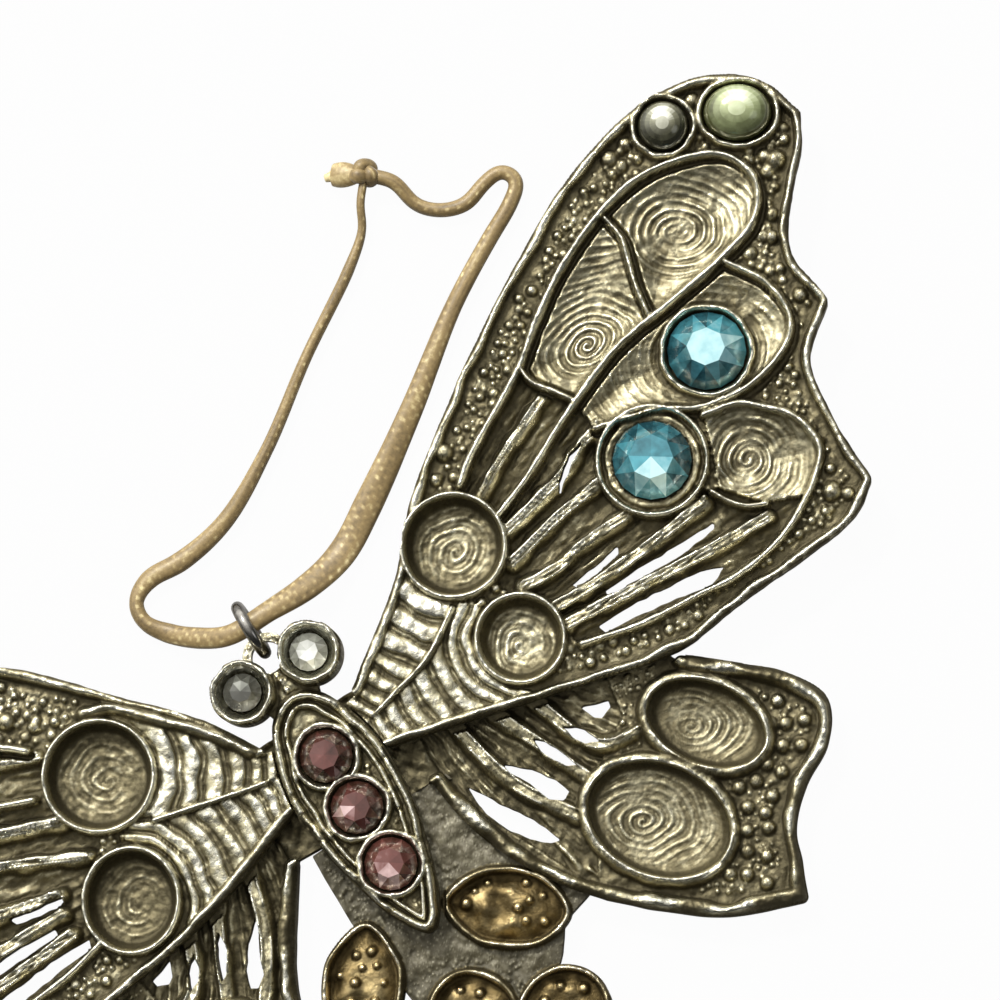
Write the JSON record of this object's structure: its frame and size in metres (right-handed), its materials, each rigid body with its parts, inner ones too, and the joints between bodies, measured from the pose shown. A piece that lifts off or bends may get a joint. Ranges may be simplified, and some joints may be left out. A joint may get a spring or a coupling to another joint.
{
  "type": "dragonfly ornament",
  "caption": "Hanging cast ornament of a winged insect on a flower sprig, with pierced wire-bordered wings, flat-back stones, a jump ring and a knotted satin cord.",
  "frame": {"origin": "centre of the ornament's bounding box, without the cord and its knot, on the flat back", "axes": "+X along the wing span, +Y towards the head, +Z out of the front"},
  "size_m": [0.0842, 0.0579, 0.0042],
  "materials": {
    "pewter": "antique pale pewter, dark in the recesses",
    "clear_stone": "faceted, clear",
    "rose_stone": "faceted, dusty rose",
    "blue_stone": "faceted, light blue",
    "green_stone": "faceted, pale green",
    "smoky_stone": "faceted, smoky",
    "ring_steel": "bright wire",
    "satin_cord": "tan satin braid"
  },
  "bodies": {
    "ornament": {"body": "pewter", "forewing_right": "pewter", "forewing_left": "pewter", "hindwing_right": "pewter", "hindwing_left": "pewter", "flower_spray": "pewter", "eye_stone_right": "clear_stone", "eye_stone_left": "clear_stone", "body_stone_upper": "rose_stone", "body_stone_middle": "rose_stone", "body_stone_lower": "rose_stone", "blue_stone_outer_right": "blue_stone", "blue_stone_inner_right": "blue_stone", "blue_stone_outer_left": "blue_stone", "blue_stone_inner_left": "blue_stone", "green_stone_right": "green_stone", "green_stone_left": "green_stone", "smoky_stone_right": "smoky_stone", "smoky_stone_left": "smoky_stone"},
    "hanger": {"jump_ring": "ring_steel", "hanging_cord": "satin_cord", "cord_knot": "satin_cord"}
  },
  "joints": [
    {"name": "hanger_swing", "type": "hinge", "parent": "ornament", "child": "hanger", "pos_m": [0, 0.01002, 0.00196], "axis": [1, 0, 0], "range_deg": [-60, 90]}
  ]
}
